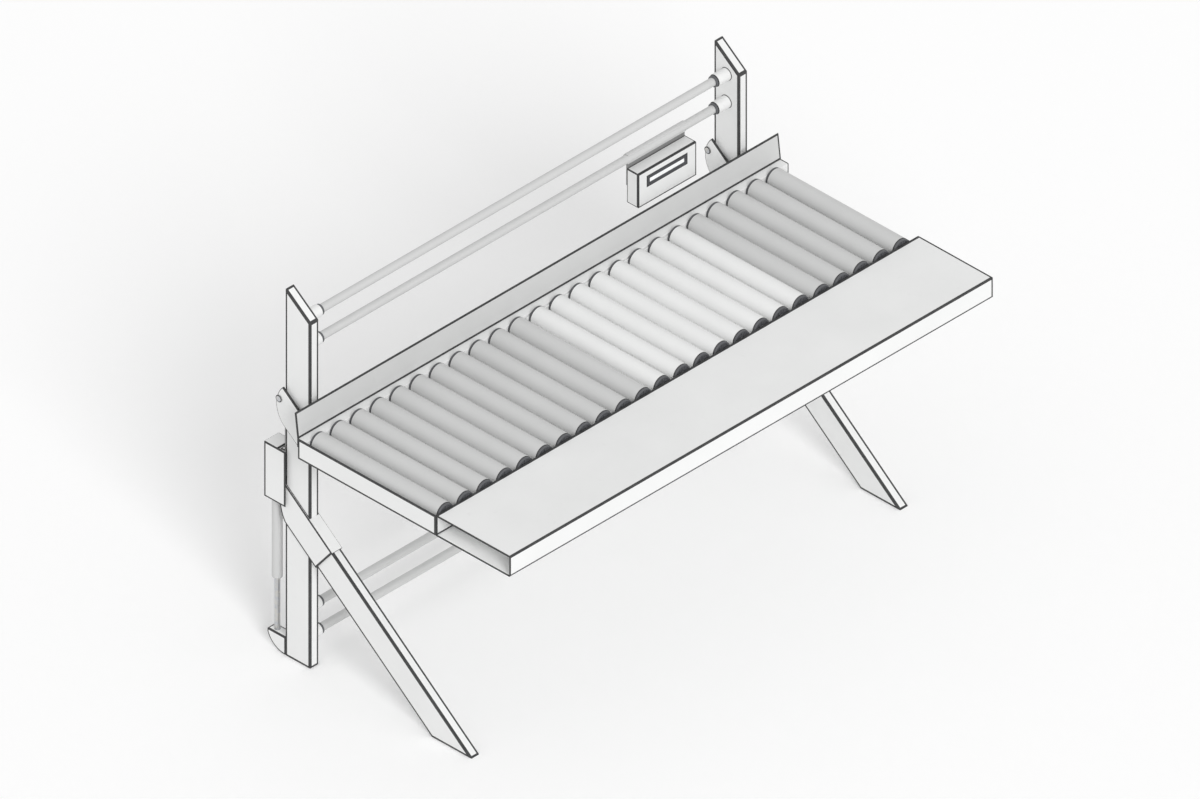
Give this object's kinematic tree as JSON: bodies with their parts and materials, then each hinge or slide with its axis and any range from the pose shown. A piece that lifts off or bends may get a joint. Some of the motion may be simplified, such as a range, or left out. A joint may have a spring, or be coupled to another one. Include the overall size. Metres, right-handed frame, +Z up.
{
  "type": "roller conveyor table",
  "caption": "Height-adjustable roller conveyor table with a packing shelf, back fence, weighing section and tilting display box on two braced posts.",
  "frame": {"origin": "on the floor, below the middle of the table's length and of the whole depth", "axes": "+X along the table to the operator's right, -Y towards the operator, +Z up"},
  "size_m": [2, 1.079, 1.292],
  "materials": {
    "light_paint": "fine-textured light grey powder coat",
    "shelf_paint": "smooth light grey powder coat",
    "fence_paint": "smooth mid grey powder coat",
    "bright_steel": "bright zinc plating",
    "black_plastic": "moulded, matte",
    "motor_steel": "black lacquer",
    "bracket_paint": "dark grey powder coat",
    "cell_aluminium": "milled, satin",
    "box_plastic": "fine spark-eroded grain",
    "display_glass": "clear pane over a pale display",
    "board": "solder mask",
    "dark_roller": "mid grey coated tube, satin",
    "light_roller": "light grey coated tube, satin"
  },
  "bodies": {
    "stand": {"posts": "light_paint", "cross_tubes": "light_paint", "tube_collars": "light_paint", "collar_rings": "black_plastic", "legs": "light_paint", "leg_sockets": "light_paint", "stand_bolts": "bright_steel", "heel_brackets": "light_paint", "actuator_rods": "bright_steel"},
    "table": {"carriage_arms": "light_paint", "arm_bearers": "light_paint", "rear_beam": "light_paint", "front_beam": "light_paint", "end_plates": "light_paint", "fence": "fence_paint", "shelf": "shelf_paint", "table_bolts": "bright_steel", "roller_axles": "bright_steel", "weigh_frame": "light_paint", "load_cells": "cell_aluminium", "scale_base": "light_paint", "actuator_housings": "light_paint", "actuator_tubes": "light_paint", "drive_motors": "motor_steel", "lift_straps": "light_paint"},
    "indicator": {"indicator_case": "box_plastic", "indicator_panel": "box_plastic", "indicator_window": "display_glass", "indicator_board": "board", "indicator_bracket": "bracket_paint"},
    "guide_roller_rear_left": {"guide_roller_rear_left": "black_plastic"},
    "guide_roller_rear_right": {"guide_roller_rear_right": "black_plastic"},
    "guide_roller_front_left": {"guide_roller_front_left": "black_plastic"},
    "guide_roller_front_right": {"guide_roller_front_right": "black_plastic"},
    "lift_spindle_left": {"lift_spindle_left": "bright_steel"},
    "lift_spindle_right": {"lift_spindle_right": "bright_steel"},
    "roller_01": {"roller_01": "dark_roller"},
    "roller_02": {"roller_02": "dark_roller"},
    "roller_03": {"roller_03": "dark_roller"},
    "roller_04": {"roller_04": "dark_roller"},
    "roller_05": {"roller_05": "dark_roller"},
    "roller_06": {"roller_06": "dark_roller"},
    "roller_07": {"roller_07": "dark_roller"},
    "roller_08": {"roller_08": "dark_roller"},
    "roller_09": {"roller_09": "dark_roller"},
    "roller_10": {"roller_10": "dark_roller"},
    "roller_11": {"roller_11": "dark_roller"},
    "roller_12": {"roller_12": "light_roller"},
    "roller_13": {"roller_13": "light_roller"},
    "roller_14": {"roller_14": "light_roller"},
    "roller_15": {"roller_15": "light_roller"},
    "roller_16": {"roller_16": "light_roller"},
    "roller_17": {"roller_17": "light_roller"},
    "roller_18": {"roller_18": "light_roller"},
    "roller_19": {"roller_19": "light_roller"},
    "roller_20": {"roller_20": "dark_roller"},
    "roller_21": {"roller_21": "dark_roller"},
    "roller_22": {"roller_22": "dark_roller"},
    "roller_23": {"roller_23": "dark_roller"},
    "roller_24": {"roller_24": "dark_roller"}
  },
  "joints": [
    {"name": "table_lift", "type": "slide", "parent": "stand", "child": "table", "axis": [0, 0, 1], "range_m": [-0.15, 0.12]},
    {"name": "guide_roller_rear_left_spin", "type": "hinge", "parent": "table", "child": "guide_roller_rear_left", "pos_m": [-0.887, 0.4775, 0.90697], "axis": [1, 0, 0], "continuous": true},
    {"name": "guide_roller_rear_right_spin", "type": "hinge", "parent": "table", "child": "guide_roller_rear_right", "pos_m": [0.887, 0.4775, 0.90697], "axis": [1, 0, 0], "continuous": true},
    {"name": "guide_roller_front_left_spin", "type": "hinge", "parent": "table", "child": "guide_roller_front_left", "pos_m": [-0.887, 0.3472, 0.768], "axis": [1, 0, 0], "continuous": true},
    {"name": "guide_roller_front_right_spin", "type": "hinge", "parent": "table", "child": "guide_roller_front_right", "pos_m": [0.887, 0.3472, 0.768], "axis": [1, 0, 0], "continuous": true},
    {"name": "lift_spindle_left_spin", "type": "hinge", "parent": "table", "child": "lift_spindle_left", "pos_m": [-0.887, 0.5155, 0.45], "axis": [0, 0, 1], "continuous": true},
    {"name": "lift_spindle_right_spin", "type": "hinge", "parent": "table", "child": "lift_spindle_right", "pos_m": [0.887, 0.5155, 0.45], "axis": [0, 0, 1], "continuous": true},
    {"name": "indicator_tilt", "type": "hinge", "parent": "stand", "child": "indicator", "pos_m": [0.577, 0.4155, 1.102], "axis": [1, 0, 0], "range_deg": [-10, 30]},
    {"name": "roller_01_spin", "type": "hinge", "parent": "table", "child": "roller_01", "pos_m": [-0.952, 0, 0.864], "axis": [0, 1, 0], "continuous": true},
    {"name": "roller_02_spin", "type": "hinge", "parent": "table", "child": "roller_02", "pos_m": [-0.87, 0, 0.864], "axis": [0, 1, 0], "continuous": true},
    {"name": "roller_03_spin", "type": "hinge", "parent": "table", "child": "roller_03", "pos_m": [-0.788, 0, 0.864], "axis": [0, 1, 0], "continuous": true},
    {"name": "roller_04_spin", "type": "hinge", "parent": "table", "child": "roller_04", "pos_m": [-0.706, 0, 0.864], "axis": [0, 1, 0], "continuous": true},
    {"name": "roller_05_spin", "type": "hinge", "parent": "table", "child": "roller_05", "pos_m": [-0.624, 0, 0.864], "axis": [0, 1, 0], "continuous": true},
    {"name": "roller_06_spin", "type": "hinge", "parent": "table", "child": "roller_06", "pos_m": [-0.542, 0, 0.864], "axis": [0, 1, 0], "continuous": true},
    {"name": "roller_07_spin", "type": "hinge", "parent": "table", "child": "roller_07", "pos_m": [-0.46, 0, 0.864], "axis": [0, 1, 0], "continuous": true},
    {"name": "roller_08_spin", "type": "hinge", "parent": "table", "child": "roller_08", "pos_m": [-0.378, 0, 0.864], "axis": [0, 1, 0], "continuous": true},
    {"name": "roller_09_spin", "type": "hinge", "parent": "table", "child": "roller_09", "pos_m": [-0.296, 0, 0.864], "axis": [0, 1, 0], "continuous": true},
    {"name": "roller_10_spin", "type": "hinge", "parent": "table", "child": "roller_10", "pos_m": [-0.214, 0, 0.864], "axis": [0, 1, 0], "continuous": true},
    {"name": "roller_11_spin", "type": "hinge", "parent": "table", "child": "roller_11", "pos_m": [-0.132, 0, 0.864], "axis": [0, 1, 0], "continuous": true},
    {"name": "roller_12_spin", "type": "hinge", "parent": "table", "child": "roller_12", "pos_m": [-0.05, 0, 0.864], "axis": [0, 1, 0], "continuous": true},
    {"name": "roller_13_spin", "type": "hinge", "parent": "table", "child": "roller_13", "pos_m": [0.032, 0, 0.864], "axis": [0, 1, 0], "continuous": true},
    {"name": "roller_14_spin", "type": "hinge", "parent": "table", "child": "roller_14", "pos_m": [0.114, 0, 0.864], "axis": [0, 1, 0], "continuous": true},
    {"name": "roller_15_spin", "type": "hinge", "parent": "table", "child": "roller_15", "pos_m": [0.196, 0, 0.864], "axis": [0, 1, 0], "continuous": true},
    {"name": "roller_16_spin", "type": "hinge", "parent": "table", "child": "roller_16", "pos_m": [0.278, 0, 0.864], "axis": [0, 1, 0], "continuous": true},
    {"name": "roller_17_spin", "type": "hinge", "parent": "table", "child": "roller_17", "pos_m": [0.36, 0, 0.864], "axis": [0, 1, 0], "continuous": true},
    {"name": "roller_18_spin", "type": "hinge", "parent": "table", "child": "roller_18", "pos_m": [0.442, 0, 0.864], "axis": [0, 1, 0], "continuous": true},
    {"name": "roller_19_spin", "type": "hinge", "parent": "table", "child": "roller_19", "pos_m": [0.524, 0, 0.864], "axis": [0, 1, 0], "continuous": true},
    {"name": "roller_20_spin", "type": "hinge", "parent": "table", "child": "roller_20", "pos_m": [0.606, 0, 0.864], "axis": [0, 1, 0], "continuous": true},
    {"name": "roller_21_spin", "type": "hinge", "parent": "table", "child": "roller_21", "pos_m": [0.688, 0, 0.864], "axis": [0, 1, 0], "continuous": true},
    {"name": "roller_22_spin", "type": "hinge", "parent": "table", "child": "roller_22", "pos_m": [0.77, 0, 0.864], "axis": [0, 1, 0], "continuous": true},
    {"name": "roller_23_spin", "type": "hinge", "parent": "table", "child": "roller_23", "pos_m": [0.852, 0, 0.864], "axis": [0, 1, 0], "continuous": true},
    {"name": "roller_24_spin", "type": "hinge", "parent": "table", "child": "roller_24", "pos_m": [0.934, 0, 0.864], "axis": [0, 1, 0], "continuous": true}
  ],
  "couplings": [
    {"joint": "guide_roller_rear_left_spin", "follows": "table_lift", "rad_per_m": 85.47},
    {"joint": "guide_roller_rear_right_spin", "follows": "table_lift", "rad_per_m": 85.47},
    {"joint": "guide_roller_front_left_spin", "follows": "table_lift", "rad_per_m": -55.556},
    {"joint": "guide_roller_front_right_spin", "follows": "table_lift", "rad_per_m": -55.556},
    {"joint": "lift_spindle_left_spin", "follows": "table_lift", "rad_per_m": 523.6},
    {"joint": "lift_spindle_right_spin", "follows": "table_lift", "rad_per_m": 523.6}
  ]
}
